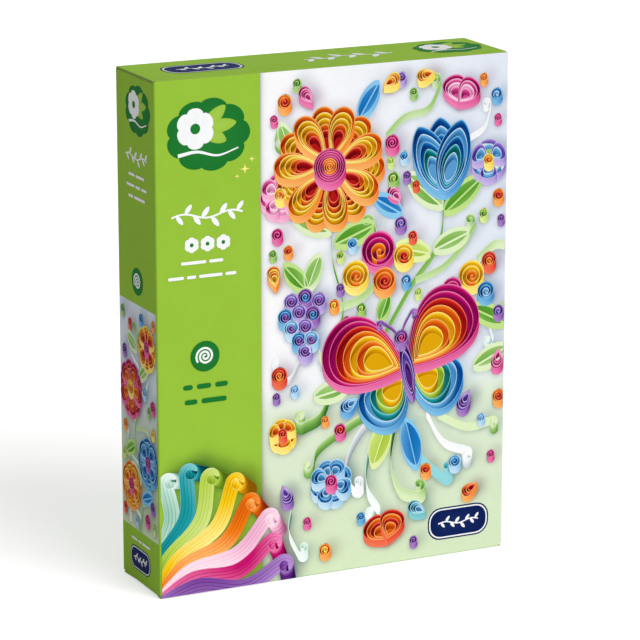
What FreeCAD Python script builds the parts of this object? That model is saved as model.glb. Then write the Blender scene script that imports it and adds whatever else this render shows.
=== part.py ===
import FreeCAD, Part
import math
import os

# Folding carton of a craft kit, in millimetres. It stands on z = 0 with its front facing -Y.
# One creased and glued sheet of board makes the four walls, the seam flap, the self-locking
# bottom and the two dust flaps. The tuck lid swings on the crease at the top of the back wall.

# Driving dimensions
WIDTH = 230.0
DEPTH = 57.0
HEIGHT = 310.0
BOARD = 0.8
CREASE_INNER_RADIUS = 0.4

# Seam: the flap on the right wall that is glued inside the back wall
SEAM_FLAP_WIDTH = 16.0
SEAM_FLAP_TAPER = 8.0
SEAM_EDGE_INSET = 0.6

# Relief between the end of a crease and the crease beside it
CREASE_RELIEF = 0.5

# Dust flaps at the top of the side walls
DUST_FLAP_LENGTH = 48.0
DUST_FLAP_FRONT_SETBACK = 3.5
DUST_FLAP_TAPER = 9.0
DUST_FLAP_SHOULDER = 7.0
DUST_FLAP_CORNER_RADIUS = 9.0

# Tuck lid
LID_REST_GAP = 0.2
LID_SIDE_INSET = 0.5
LID_HINGE_GAP = 0.15
FRONT_EDGE_DROP = 0.3
TONGUE_LENGTH = 22.0
TONGUE_FRONT_CLEARANCE = 0.4
TONGUE_SIDE_CLEARANCE = 1.0
TONGUE_TAPER = 4.0
TONGUE_CORNER_RADIUS = 11.0
LOCK_SLIT_LENGTH = 8.0
LOCK_SLIT_HEIGHT = 0.4

# Self-locking bottom: the front and back flaps hook past each other along a stepped line
BOTTOM_SIDE_INSET = 0.5
HOOK_REACH = 9.0
HOOK_SLOPE = 14.0
HOOK_CORNER_RADIUS = 5.0
HOOK_KERF = 0.6
BOTTOM_END_TAPER = 2.5
GLUED_FLAP_LENGTH = 62.0
GLUED_FLAP_TIP = 20.0
GLUED_FLAP_SIDE_CLEARANCE = 0.5
GLUED_FLAP_CORNER_RADIUS = 6.0

# Worked-out sizes
CREASE_RADIUS = BOARD + CREASE_INNER_RADIUS
HALF_WIDTH = WIDTH / 2
HALF_DEPTH = DEPTH / 2
DUST_FLAP_TOP = HEIGHT - BOARD - LID_REST_GAP
SIDE_WALL_TOP = DUST_FLAP_TOP - CREASE_RADIUS
SIDE_WALL_BOTTOM = BOARD + CREASE_RADIUS
HINGE_Y = HALF_DEPTH
HINGE_Z = HEIGHT - CREASE_RADIUS
CREASE_LINE_TOP = HINGE_Z - LID_HINGE_GAP
FRONT_WALL_TOP = HEIGHT - FRONT_EDGE_DROP
DUST_FLAP_FRONT = -HALF_DEPTH + DUST_FLAP_FRONT_SETBACK
DUST_FLAP_BACK = HALF_DEPTH - CREASE_RADIUS - BOARD - CREASE_RELIEF
TONGUE_RADIUS = DEPTH - BOARD - TONGUE_FRONT_CLEARANCE
TONGUE_FACE_Y = HINGE_Y - TONGUE_RADIUS
TONGUE_HALF_WIDTH = HALF_WIDTH - BOARD - TONGUE_SIDE_CLEARANCE
AXES = {"X": FreeCAD.Vector(1, 0, 0), "Y": FreeCAD.Vector(0, 1, 0), "Z": FreeCAD.Vector(0, 0, 1)}


def at(normal, u, v, level):
    """A point in the plane across normal: (u, v) is (y, z), (x, z) or (x, y)."""
    if normal == "X":
        return FreeCAD.Vector(level, u, v)
    if normal == "Y":
        return FreeCAD.Vector(u, level, v)
    return FreeCAD.Vector(u, v, level)


def rounded_corner(before, corner, after, radius):
    """Where the arc in a corner of an outline starts, its middle and where it ends."""
    to_before = (before - corner).normalize()
    to_after = (after - corner).normalize()
    half_angle = to_before.getAngle(to_after) / 2
    tangent = radius / math.tan(half_angle)
    bisector = (to_before + to_after).normalize()
    middle = corner + bisector * (radius / math.sin(half_angle) - radius)
    return corner + to_before * tangent, middle, corner + to_after * tangent


def plate(normal, level, corners, thickness=BOARD):
    """A flat flap or wall: an outline of (u, v, corner radius), thickened along normal."""
    points = [at(normal, u, v, level) for u, v, _ in corners]
    count = len(corners)
    stations = []
    for i, (_, _, radius) in enumerate(corners):
        if radius:
            stations.append(rounded_corner(points[i - 1], points[i], points[(i + 1) % count], radius))
        else:
            stations.append((points[i],))
    edges = []
    for i, station in enumerate(stations):
        if len(station) == 3:
            edges.append(Part.Arc(*station).toShape())
        edges.append(Part.makeLine(station[-1], stations[(i + 1) % count][0]))
    return Part.Face(Part.Wire(edges)).extrude(AXES[normal] * thickness)


def curved_board(normal, centre, outer_radius, first_angle, last_angle, start, end):
    """Board bent round an axis along normal, between two angles in degrees."""
    def on_arc(radius, angle):
        turn = math.radians(angle)
        return at(normal, centre[0] + radius * math.cos(turn), centre[1] + radius * math.sin(turn), start)

    inner_radius = outer_radius - BOARD
    middle_angle = (first_angle + last_angle) / 2
    outer = [on_arc(outer_radius, a) for a in (first_angle, middle_angle, last_angle)]
    inner = [on_arc(inner_radius, a) for a in (last_angle, middle_angle, first_angle)]
    edges = [
        Part.Arc(*outer).toShape(),
        Part.makeLine(outer[2], inner[0]),
        Part.Arc(*inner).toShape(),
        Part.makeLine(inner[2], outer[0]),
    ]
    return Part.Face(Part.Wire(edges)).extrude(AXES[normal] * (end - start))


def crease(normal, centre, first_angle, start, end):
    """A square fold: a quarter turn of board, from first_angle on."""
    return curved_board(normal, centre, CREASE_RADIUS, first_angle, first_angle + 90, start, end)


def joined(pieces):
    """The pieces of one sheet as a single clean solid."""
    return pieces[0].multiFuse(pieces[1:]).removeSplitter()


def half_turned(shape):
    """The same flap on the opposite wall."""
    turned = shape.copy()
    turned.rotate(FreeCAD.Vector(0, 0, 0), AXES["Z"], 180)
    return turned


def rectangle(low_u, low_v, high_u, high_v):
    return [(low_u, low_v, 0), (high_u, low_v, 0), (high_u, high_v, 0), (low_u, high_v, 0)]


def walls():
    """Front, back and side walls with the four upright creases between them."""
    fold_x = HALF_WIDTH - CREASE_RADIUS
    fold_y = HALF_DEPTH - CREASE_RADIUS
    seam_fold_y = fold_y - BOARD
    front = plate("Y", -HALF_DEPTH, rectangle(-fold_x, CREASE_RADIUS, fold_x, FRONT_WALL_TOP))
    back = plate(
        "Y",
        HALF_DEPTH - BOARD,
        rectangle(-fold_x, CREASE_RADIUS, HALF_WIDTH - SEAM_EDGE_INSET, CREASE_LINE_TOP),
    )
    left = plate("X", -HALF_WIDTH, rectangle(-fold_y, SIDE_WALL_BOTTOM, fold_y, SIDE_WALL_TOP))
    right = plate(
        "X", HALF_WIDTH - BOARD, rectangle(-fold_y, SIDE_WALL_BOTTOM, seam_fold_y, SIDE_WALL_TOP)
    )
    upright = (SIDE_WALL_BOTTOM, CREASE_LINE_TOP)
    folds = [
        crease("Z", (fold_x, seam_fold_y), 0, SIDE_WALL_BOTTOM, SIDE_WALL_TOP),
        crease("Z", (-fold_x, fold_y), 90, *upright),
        crease("Z", (-fold_x, -fold_y), 180, *upright),
        crease("Z", (fold_x, -fold_y), 270, *upright),
    ]
    return [front, back, left, right, *folds]


def shoulders():
    """The side walls' short stretches beside the dust flaps, up to the line of their crease."""
    fold_y = HALF_DEPTH - CREASE_RADIUS
    before = rectangle(-fold_y, SIDE_WALL_TOP, DUST_FLAP_FRONT - CREASE_RELIEF, CREASE_LINE_TOP)
    behind = rectangle(DUST_FLAP_BACK + CREASE_RELIEF, SIDE_WALL_TOP, fold_y, CREASE_LINE_TOP)
    return [
        plate("X", -HALF_WIDTH, before),
        plate("X", HALF_WIDTH - BOARD, before),
        plate("X", -HALF_WIDTH, behind),
    ]


def front_corner_lips():
    """The front wall's half of its upright creases, up to its own top edge."""
    fold_x = HALF_WIDTH - CREASE_RADIUS
    fold_y = HALF_DEPTH - CREASE_RADIUS
    rise = (CREASE_LINE_TOP, FRONT_WALL_TOP)
    return [
        curved_board("Z", (-fold_x, -fold_y), CREASE_RADIUS, 225, 270, *rise),
        curved_board("Z", (fold_x, -fold_y), CREASE_RADIUS, 270, 315, *rise),
    ]


def seam_flap():
    """The glued flap, tapered at both ends, face to face with the inside of the back wall."""
    fold_x = HALF_WIDTH - CREASE_RADIUS
    free_x = fold_x - SEAM_FLAP_WIDTH
    outline = [
        (fold_x, SIDE_WALL_BOTTOM, 0),
        (fold_x, SIDE_WALL_TOP, 0),
        (free_x, SIDE_WALL_TOP - SEAM_FLAP_TAPER, 0),
        (free_x, SIDE_WALL_BOTTOM + SEAM_FLAP_TAPER, 0),
    ]
    return [plate("Y", HALF_DEPTH - 2 * BOARD, outline)]


def dust_flap(side):
    """The flap that folds in from the top of a side wall, under the lid. side is -1 or +1."""
    fold_x = HALF_WIDTH - CREASE_RADIUS
    free_x = fold_x - DUST_FLAP_LENGTH
    outline = [
        (side * fold_x, DUST_FLAP_FRONT, 0),
        (side * free_x, DUST_FLAP_FRONT, DUST_FLAP_CORNER_RADIUS),
        (side * free_x, DUST_FLAP_BACK - DUST_FLAP_TAPER, DUST_FLAP_CORNER_RADIUS),
        (side * (fold_x - DUST_FLAP_SHOULDER), DUST_FLAP_BACK, 0),
        (side * fold_x, DUST_FLAP_BACK, 0),
    ]
    flap = plate("Z", DUST_FLAP_TOP - BOARD, outline)
    first_angle = 0 if side > 0 else 90
    fold = crease("Y", (side * fold_x, SIDE_WALL_TOP), first_angle, DUST_FLAP_FRONT, DUST_FLAP_BACK)
    return [flap, fold]


def hooked_bottom_flap():
    """The front wall's bottom flap. Its free edge steps across the middle of the bottom."""
    half_length = HALF_WIDTH - BOTTOM_SIDE_INSET
    fold_y = -HALF_DEPTH + CREASE_RADIUS
    half_kerf = HOOK_KERF / 2
    outline = [
        (-half_length, fold_y, 0),
        (half_length, fold_y, 0),
        (half_length - BOTTOM_END_TAPER, HOOK_REACH - half_kerf, HOOK_CORNER_RADIUS),
        (HOOK_SLOPE, HOOK_REACH - half_kerf, HOOK_CORNER_RADIUS),
        (-HOOK_SLOPE, -HOOK_REACH - half_kerf, HOOK_CORNER_RADIUS),
        (-half_length + BOTTOM_END_TAPER, -HOOK_REACH - half_kerf, 0),
    ]
    reach = HALF_WIDTH - CREASE_RADIUS - CREASE_RELIEF
    fold = crease("X", (fold_y, CREASE_RADIUS), 180, -reach, reach)
    return [plate("Z", 0, outline), fold]


def glued_bottom_flap():
    """The left wall's bottom flap, which lies on the hooked flaps and is glued to them."""
    fold_x = -HALF_WIDTH + CREASE_RADIUS
    free_x = fold_x + GLUED_FLAP_LENGTH
    front_y = -HALF_DEPTH + BOARD + GLUED_FLAP_SIDE_CLEARANCE
    back_y = HALF_DEPTH - 2 * BOARD - GLUED_FLAP_SIDE_CLEARANCE
    outline = [
        (fold_x, front_y, 0),
        (free_x, front_y, GLUED_FLAP_CORNER_RADIUS),
        (free_x, front_y + GLUED_FLAP_TIP, GLUED_FLAP_CORNER_RADIUS),
        (fold_x, back_y, 0),
    ]
    reach = HALF_DEPTH - CREASE_RADIUS - BOARD - CREASE_RELIEF
    fold = crease("Y", (fold_x, SIDE_WALL_BOTTOM), 180, -reach, reach)
    return [plate("Z", BOARD, outline), fold]


def bottom():
    one_half = hooked_bottom_flap() + glued_bottom_flap()
    return one_half + [half_turned(piece) for piece in one_half]


def carton():
    sheet = walls() + shoulders() + front_corner_lips() + seam_flap()
    return joined(sheet + dust_flap(-1) + dust_flap(1) + bottom())


def lid_tongue():
    """The tuck tongue. It is bowed about the hinge, so that it slides out past the front wall."""
    sweep = math.degrees(TONGUE_LENGTH / TONGUE_RADIUS)
    bowed = curved_board(
        "X",
        (HINGE_Y, HINGE_Z),
        TONGUE_RADIUS,
        180,
        180 + sweep,
        -TONGUE_HALF_WIDTH,
        TONGUE_HALF_WIDTH,
    )
    low_z = HINGE_Z - TONGUE_RADIUS * math.sin(math.radians(sweep))
    tip = TONGUE_HALF_WIDTH - TONGUE_TAPER
    outline = [
        (-TONGUE_HALF_WIDTH, HINGE_Z, 0),
        (-tip, low_z, TONGUE_CORNER_RADIUS),
        (tip, low_z, TONGUE_CORNER_RADIUS),
        (TONGUE_HALF_WIDTH, HINGE_Z, 0),
    ]
    return bowed.common(plate("Y", -HALF_DEPTH, outline, HALF_DEPTH))


def lock_slit(side):
    """The cut between lid and tongue, at one end of their crease."""
    inner_x = TONGUE_HALF_WIDTH - LOCK_SLIT_LENGTH
    corners = sorted((side * inner_x, side * HALF_WIDTH))
    outline = rectangle(corners[0], HINGE_Z - LOCK_SLIT_HEIGHT, corners[1], HINGE_Z)
    return plate("Y", -HALF_DEPTH, outline, CREASE_RADIUS + 2 * BOARD + TONGUE_FRONT_CLEARANCE)


def tuck_lid():
    """The lid panel with the crease that hinges on the back wall, and the tongue at its front."""
    half_length = HALF_WIDTH - LID_SIDE_INSET
    front_fold_y = TONGUE_FACE_Y + CREASE_RADIUS
    back_fold_y = HALF_DEPTH - CREASE_RADIUS
    panel = plate("Z", HEIGHT - BOARD, rectangle(-half_length, front_fold_y, half_length, back_fold_y))
    hinge_fold = crease("X", (back_fold_y, HINGE_Z), 0, -half_length, half_length)
    front_fold = crease("X", (front_fold_y, HINGE_Z), 90, -TONGUE_HALF_WIDTH, TONGUE_HALF_WIDTH)
    lid = joined([panel, hinge_fold, front_fold, lid_tongue()])
    return lid.cut([lock_slit(-1), lock_slit(1)])


def main():
    os.makedirs("parts", exist_ok=True)
    for name, shape in (("carton", carton()), ("tuck_lid", tuck_lid())):
        shape.exportStep("parts/%s.step" % name)
        print(name, "valid", shape.isValid(), "solids", len(shape.Solids), "mm3", round(shape.Volume, 1))


main()
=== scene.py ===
import math

import bpy
import numpy as np
from mathutils import Matrix, Vector


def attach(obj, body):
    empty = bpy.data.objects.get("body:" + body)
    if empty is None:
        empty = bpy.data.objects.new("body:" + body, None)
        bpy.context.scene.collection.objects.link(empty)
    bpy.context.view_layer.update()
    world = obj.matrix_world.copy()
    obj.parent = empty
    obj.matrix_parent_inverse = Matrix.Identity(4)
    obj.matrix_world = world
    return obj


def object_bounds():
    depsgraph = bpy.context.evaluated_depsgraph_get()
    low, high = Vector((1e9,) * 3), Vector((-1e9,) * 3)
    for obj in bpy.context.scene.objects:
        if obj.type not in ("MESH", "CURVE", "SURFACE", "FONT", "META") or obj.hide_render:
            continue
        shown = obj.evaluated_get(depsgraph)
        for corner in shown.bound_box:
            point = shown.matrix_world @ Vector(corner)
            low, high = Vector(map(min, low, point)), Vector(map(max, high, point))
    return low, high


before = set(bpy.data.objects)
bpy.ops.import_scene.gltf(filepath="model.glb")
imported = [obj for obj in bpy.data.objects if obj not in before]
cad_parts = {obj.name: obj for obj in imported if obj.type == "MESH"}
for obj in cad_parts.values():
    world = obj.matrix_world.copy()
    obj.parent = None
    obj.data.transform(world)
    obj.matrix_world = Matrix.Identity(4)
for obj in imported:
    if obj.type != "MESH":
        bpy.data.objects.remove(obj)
cad_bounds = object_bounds()

# Scales, and the carton's sizes in millimetres, from the frame

MM = 0.001
TURN = 2 * math.pi
LOW, HIGH = (np.array(corner) / MM for corner in cad_bounds)
WIDTH, DEPTH, HEIGHT = HIGH - LOW
BOARD = 0.8
CREASE_RADIUS = 1.2
CREASE_RELIEF = 0.5
SKIN_DEPTH = 0.12
SIDE_CREASE_TOP = HEIGHT - CREASE_RADIUS - 0.15
FRONT_TOP = HEIGHT - 0.3

# Layout of the printed front, as u from its left edge and v from its foot

BAND_EDGE = 66.5
BAND_SHADE_TOP = 120.0
GREEN_CHANGE = 112.0
FIELD_BLEND = 26.0
FOLD_SHADE, FOLD_REACH = 0.5, 1.5

# The picture on the left side, as v from the foot

SIDE_FOOT, SIDE_HEAD = 33.5, 173.0
SIDE_CHANGE, SIDE_BLEND = 40.0, 60.0

# Spacing of the grounds' grids

GROUND_STEP = 1.3
BAND_STEP = 1.5
SIDE_STEP = 1.2
CREASE_STEP = 0.3
LIP_STEP = 0.5

# Ink: how far print lies above the board, and how quilled strips are pictured

INK_LIFT = 0.03
RELIEF = 0.04
LEVEL_STEP = 0.045
SHAPE_STEP = 0.003
LEAN = np.array((0.3, -4.4))
LIGHT_IN_PICTURE = np.array((-0.5, -0.86))
STRIP_EDGE = 0.34
OPEN_GAP = 6.0
FLOOR_HEIGHT = 0.04
WALL_HEIGHTS = (1.0, 0.78, 0.45, 0.0)
SCORE_LINE, SCORE_RIM, SCORE_TONE = 0.012, 0.03, 0.28

# Tones: how they change with the light's side, down a wall and between strips

DEEPEST = -0.3
SIDE_LIGHT = 0.3
SUNK = 0.95
SUNK_REACH = 0.9
FOOT_LIGHT = 0.18
EDGE_TONE, EDGE_LIGHT = 0.86, 0.12


def linear(red, green, blue):
    """A colour given by its screen values, 0 to 255, as scene-linear light."""
    screen = np.array((red, green, blue)) / 255
    return np.where(screen <= 0.04045, screen / 12.92, ((screen + 0.055) / 1.055) ** 2.4)


# Each ink runs from its shade over its own colour to its highlight
INKS = {
    "magenta": [(128, 0, 70), (206, 18, 112), (246, 138, 190)],
    "pink": [(190, 40, 120), (238, 110, 176), (255, 200, 226)],
    "blush": [(222, 130, 178), (250, 200, 224), (255, 238, 246)],
    "red": [(140, 6, 14), (218, 34, 28), (250, 128, 92)],
    "orange": [(196, 66, 4), (244, 124, 18), (255, 192, 112)],
    "yellow": [(206, 132, 0), (250, 206, 20), (255, 244, 150)],
    "lime": [(122, 160, 30), (186, 214, 80), (232, 244, 170)],
    "green": [(30, 92, 26), (92, 164, 48), (196, 228, 140)],
    "leaf": [(58, 122, 42), (140, 192, 92), (226, 242, 196)],
    "mint": [(110, 176, 150), (206, 236, 222), (248, 255, 252)],
    "teal": [(0, 92, 96), (28, 158, 166), (150, 218, 224)],
    "blue": [(0, 60, 132), (24, 122, 196), (140, 204, 240)],
    "sky": [(60, 130, 190), (120, 186, 232), (214, 238, 252)],
    "purple": [(52, 16, 86), (112, 50, 150), (186, 146, 214)],
    "violet": [(84, 60, 160), (142, 112, 202), (212, 196, 238)],
    "white": [(190, 200, 206), (240, 244, 246), (255, 255, 255)],
    "band": [(70, 110, 60), (154, 197, 62), (190, 222, 110)],
    "plate": [(14, 84, 34), (30, 122, 48), (60, 150, 70)],
    "navy": [(6, 14, 46), (12, 30, 84), (40, 66, 130)],
    "spark": [(214, 200, 60), (248, 240, 120), (255, 250, 180)],
}
INKS = {name: np.array([linear(*tone) for tone in tones]) for name, tones in INKS.items()}
FIELD_TOP_LEFT = linear(255, 254, 255)
FIELD_TOP_RIGHT = linear(229, 236, 247)
FIELD_LOW = linear(226, 239, 216)
FIELD_FOOT = linear(214, 231, 194)
BOARD_INSIDE = linear(228, 224, 214)
BOARD_CORE = linear(150, 178, 84)


def toned(ink, tone):
    """The ink at each tone: 0 is its shade, 0.5 its own colour, 1 its highlight. Less is darker."""
    shade, own, highlight = INKS[ink]
    t = np.clip(np.atleast_1d(tone), DEEPEST, 1)[:, None] * 2
    lit = np.where(t < 1, shade + (own - shade) * np.maximum(t, 0), own + (highlight - own) * (t - 1))
    return lit * (1 + np.minimum(t, 0))


# Faces of the carton: where a printed point (u, v, height above the board) lies in space


def on_front(points):
    u, v, w = points.T
    return np.stack([u - WIDTH / 2, -DEPTH / 2 - w, v], axis=1)


def round_front(points):
    """The front, with the print carried round the creases at its right edge and foot."""
    u, v, w = points.T
    flat_u = WIDTH - CREASE_RADIUS
    past_side = np.maximum(u - flat_u, 0) / CREASE_RADIUS
    past_foot = np.maximum(CREASE_RADIUS - v, 0) / CREASE_RADIUS
    past = past_side + past_foot
    reach = (CREASE_RADIUS + w) * np.sin(past)
    x = np.minimum(u, flat_u) + np.where(past_side > 0, reach, 0) - WIDTH / 2
    z = np.maximum(v, CREASE_RADIUS) - np.where(past_foot > 0, reach, 0)
    y = CREASE_RADIUS - (CREASE_RADIUS + w) * np.cos(past) - DEPTH / 2
    return np.stack([x, y, z], axis=1)


def on_side(points):
    """The left side, read from outside: u runs from the back to the front."""
    u, v, w = points.T
    return np.stack([-WIDTH / 2 - w, DEPTH / 2 - u, v], axis=1)


def on_top(points):
    """The lid, read from the front: v runs from the front to the back."""
    u, v, w = points.T
    return np.stack([u - WIDTH / 2, v - DEPTH / 2, HEIGHT + w], axis=1)


PLACES = {"front": on_front, "round_front": round_front, "side": on_side, "top": on_top}


# Drawing: print is built up in (u, v, height) and becomes one mesh for each motif


class Drawing:
    """Ink shapes of one motif. Standing paper strips are pictured leaning towards lean."""

    def __init__(self, level=0, lean=LEAN, shade=None):
        self.base = INK_LIFT + 0.01 + level * LEVEL_STEP
        self.lean = lean
        self.shade = shade
        self.points, self.colours, self.faces = [], [], []
        self.count = 0

    def add(self, points, colours, faces):
        self.points.append(points)
        self.colours.append(colours)
        self.faces.append(np.asarray(faces) + self.count)
        self.count += len(points)

    def pictured(self, path, z):
        """Points of a path at height z of the strips, 1 at their top edge, as they are drawn."""
        z = np.broadcast_to(z, len(path))
        flat = path + self.lean * (1 - z)[:, None]
        return np.column_stack([flat, self.base + RELIEF * z])

    def cast(self, path, ink, weight):
        if self.shade:
            self.shade.cast(path + self.lean, ink, weight)


def grid_faces(rows, columns):
    """Quads between rows of points."""
    first = (np.arange(rows - 1)[:, None] * columns + np.arange(columns - 1)).ravel()
    return np.column_stack([first, first + 1, first + columns + 1, first + columns])


def unit(vectors):
    return vectors / np.maximum(np.linalg.norm(vectors, axis=1, keepdims=True), 1e-9)


def outward(path, closed):
    """The right-hand normals of a path, which point out of an anticlockwise loop."""
    if closed:
        along = np.roll(path, -1, axis=0) - np.roll(path, 1, axis=0)
    else:
        along = np.gradient(path, axis=0)
    return unit(np.column_stack([along[:, 1], -along[:, 0]]))


def wall_rows(scores):
    """Heights at which a strip's wall is coloured, each with how much darker it is there."""
    rows = [(z, 0.0) for z in WALL_HEIGHTS]
    for z in scores:
        for reach, darker in ((SCORE_RIM, 0.0), (SCORE_LINE, SCORE_TONE)):
            rows += [(z + reach, darker), (z - reach, darker)]
    return sorted(rows, reverse=True)


def strip(drawing, path, ink, height, gap, outer_gap, closed=False, edge=STRIP_EDGE,
          shift=0.0, scores=()):
    """A paper strip on its edge. gap and outer_gap are the room beside it, which shade it."""
    normal = outward(path, closed)
    if closed:
        path = np.vstack([path, path[:1]])
        normal = np.vstack([normal, normal[:1]])
    facing = normal @ drawing.lean
    side = np.where(facing >= 0, 1.0, -1.0)
    room = np.where(facing >= 0, outer_gap, gap)
    lit = (normal * side[:, None]) @ LIGHT_IN_PICTURE
    top_tone = 0.5 + SIDE_LIGHT * lit + shift
    lean_length = np.linalg.norm(drawing.lean)
    rows, tones = [], []
    for share, darker in wall_rows(scores):
        seen = (1 - share) * height * lean_length
        sunk = SUNK * (1 - np.exp(-seen / (SUNK_REACH * room)))
        fall = np.where(room < OPEN_GAP, sunk, -FOOT_LIGHT * seen / lean_length)
        rows.append(drawing.pictured(path, share * height))
        tones.append(toned(ink, top_tone - fall - darker))
    drawing.add(np.vstack(rows), np.vstack(tones), grid_faces(len(rows), len(path)))
    edge_rows = [drawing.pictured(path + normal * edge * s, height * 1.02) for s in (-0.5, 0.5)]
    edge_tone = toned(ink, EDGE_TONE + EDGE_LIGHT * lit + shift)
    drawing.add(np.vstack(edge_rows), np.vstack([edge_tone, edge_tone]), grid_faces(2, len(path)))
    drawing.cast(path, ink, height)


def fan(drawing, outline, centre, rim_colours, centre_colour, z):
    """A filled shape that its centre can see all of."""
    count = len(outline)
    flat = np.vstack([outline, centre])
    points = np.column_stack([flat, np.full(count + 1, z)])
    ring = np.arange(count)
    faces = np.column_stack([np.full(count, count), ring, np.roll(ring, -1)])
    drawing.add(points, np.vstack([rim_colours, np.reshape(centre_colour, (1, 3))]), faces)


def floor_fill(drawing, outline, ink, tone):
    """Shaded paper between the strips of one quilled shape."""
    centre = outline.mean(axis=0)
    drawn = drawing.pictured(np.vstack([outline, centre]), FLOOR_HEIGHT)
    rim = toned(ink, np.full(len(outline), tone))
    fan(drawing, drawn[:-1, :2], drawn[-1, :2], rim, toned(ink, tone)[0], drawn[0, 2])


def ring_fill(drawing, outer, inner, ink):
    """The same between two loops, one inside the other, that have as many points."""
    closed = [np.vstack([loop, loop[:1]]) for loop in (outer, inner)]
    rows = [drawing.pictured(loop, FLOOR_HEIGHT) for loop in closed]
    tones = [toned(ink, np.full(len(row), tone)) for row, tone in zip(rows, (0.0, 0.14))]
    drawing.add(np.vstack(rows), np.vstack(tones), grid_faces(2, len(outer) + 1))


def patch(drawing, outline, ink, rim_tone=0.5, centre_tone=0.5):
    """A flat printed shape, over what is drawn before it."""
    drawing.base += SHAPE_STEP
    rim = toned(ink, np.full(len(outline), rim_tone))
    fan(drawing, outline, outline.mean(axis=0), rim, toned(ink, centre_tone)[0], drawing.base)


def line(drawing, path, ink, width, tone=0.5):
    """A flat printed line. width may be a number or one value for each point."""
    drawing.base += SHAPE_STEP
    normal = outward(path, False) * (np.broadcast_to(width, len(path)) / 2)[:, None]
    flat = np.vstack([path - normal, path + normal])
    points = np.column_stack([flat, np.full(len(flat), drawing.base)])
    drawing.add(points, toned(ink, np.full(len(flat), tone)), grid_faces(2, len(path)))


class Shade:
    """The soft shadows that pictured paper casts on a printed ground, as absorbed light."""

    CELL = 1.0
    MARGIN = 12.0
    COOL = np.array((1.08, 1.0, 0.86))
    INK_SHARE = 0.38
    CONTACT_SPREAD, CONTACT_WEIGHT = 1.3, 0.8
    SOFT_SPREAD, SOFT_OFFSET = 3.4, (4.0, 4.0)

    def __init__(self, width, height):
        size = (np.array((height, width)) + 2 * self.MARGIN) / self.CELL
        self.absorbed = np.zeros((*np.ceil(size).astype(int), 3))
        self.field = None

    def cast(self, points, ink, weight):
        """Shadow along a path, in proportion to its length."""
        cell = np.floor((points[:, ::-1] + self.MARGIN) / self.CELL).astype(int)
        inside = ((cell >= 0) & (cell < self.absorbed.shape[:2])).all(axis=1)
        cell = cell[inside]
        tint = (1 - self.INK_SHARE * INKS[ink][1]) * self.COOL
        steps = np.linalg.norm(np.gradient(points, axis=0), axis=1)[inside]
        np.add.at(self.absorbed, (cell[:, 0], cell[:, 1]), weight * steps[:, None] * tint)

    def blurred(self, spread, offset):
        """The absorbed light spread by a Gaussian and moved by offset, in millimetres."""
        reach = int(3 * spread / self.CELL) + 1
        steps = np.arange(-reach, reach + 1) * self.CELL
        kernel = np.exp(-0.5 * (steps / spread) ** 2)
        kernel /= kernel.sum()
        out = self.absorbed
        for axis in (0, 1):
            out = np.apply_along_axis(np.convolve, axis, out, kernel, mode="same")
        shift = np.round(np.array(offset[::-1]) / self.CELL).astype(int)
        return np.roll(out, shift, axis=(0, 1))

    def settle(self):
        """A narrow shadow where paper meets the ground, and a wide one away from the light."""
        contact = self.blurred(self.CONTACT_SPREAD, (0.0, 0.0))
        soft = self.blurred(self.SOFT_SPREAD, self.SOFT_OFFSET)
        self.field = self.CONTACT_WEIGHT * contact + soft

    def at(self, u, v):
        """How much of the light is left at points of the ground, for each colour."""
        row = (v + self.MARGIN) / self.CELL - 0.5
        column = (u + self.MARGIN) / self.CELL - 0.5
        r = np.clip(np.floor(row).astype(int), 0, self.field.shape[0] - 2)
        c = np.clip(np.floor(column).astype(int), 0, self.field.shape[1] - 2)
        y, x = (row - r)[:, None], (column - c)[:, None]
        low = self.field[r, c] * (1 - x) + self.field[r, c + 1] * x
        high = self.field[r + 1, c] * (1 - x) + self.field[r + 1, c + 1] * x
        return np.exp(-(low * (1 - y) + high * y))


# Curves


def smooth(knots, steps=14):
    """A Catmull-Rom curve through the knots."""
    p = np.asarray(knots, dtype=float)
    p = np.vstack([2 * p[0] - p[1], p, 2 * p[-1] - p[-2]])
    t = np.linspace(0, 1, steps, endpoint=False)[:, None]
    spans = []
    for a, b, c, d in zip(p, p[1:], p[2:], p[3:]):
        bend = (2 * a - 5 * b + 4 * c - d) * t**2 + (3 * b - a - 3 * c + d) * t**3
        spans.append(0.5 * (2 * b + (c - a) * t + bend))
    return np.vstack([*spans, p[-2:-1]])


def turned(points, heading):
    """Points turned anticlockwise by heading degrees."""
    a = math.radians(heading)
    return np.asarray(points) @ np.array(((math.cos(a), math.sin(a)), (-math.sin(a), math.cos(a))))


def full_turn(count):
    """As many angles as asked for, evenly spread over a full turn."""
    return np.linspace(0, TURN, count, endpoint=False)


def teardrop(length, width):
    """A loop with its point at the origin and its round end at (0, length), anticlockwise."""
    t = full_turn(56)
    return np.column_stack([width * 0.65 * np.sin(t) * np.sin(t / 2), length * (1 - np.cos(t)) / 2])


def marquise(length, width):
    """A leaf-shaped loop between (0, 0) and (0, length), anticlockwise."""
    t = full_turn(48)
    along = (1 - np.cos(t)) / 2
    return np.column_stack([0.5 * width * np.sin(t) * np.abs(np.sin(t)) ** 0.35, length * along])


def circle(centre, radius, count=40):
    t = full_turn(count)
    return np.column_stack([centre[0] + radius * np.cos(t), centre[1] + radius * np.sin(t)])


def rounded_bar(centre, width, height, radius):
    """The outline of a bar with round corners."""
    t = np.linspace(0, math.pi / 2, 6)
    arc = radius * np.column_stack([np.cos(t), np.sin(t)])
    reach = np.array((width / 2 - radius, height / 2 - radius))
    corners = []
    for quarter, sign in enumerate(((1, 1), (-1, 1), (-1, -1), (1, -1))):
        corners.append(turned(arc, 90 * quarter) + reach * sign)
    return np.vstack(corners) + centre


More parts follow.
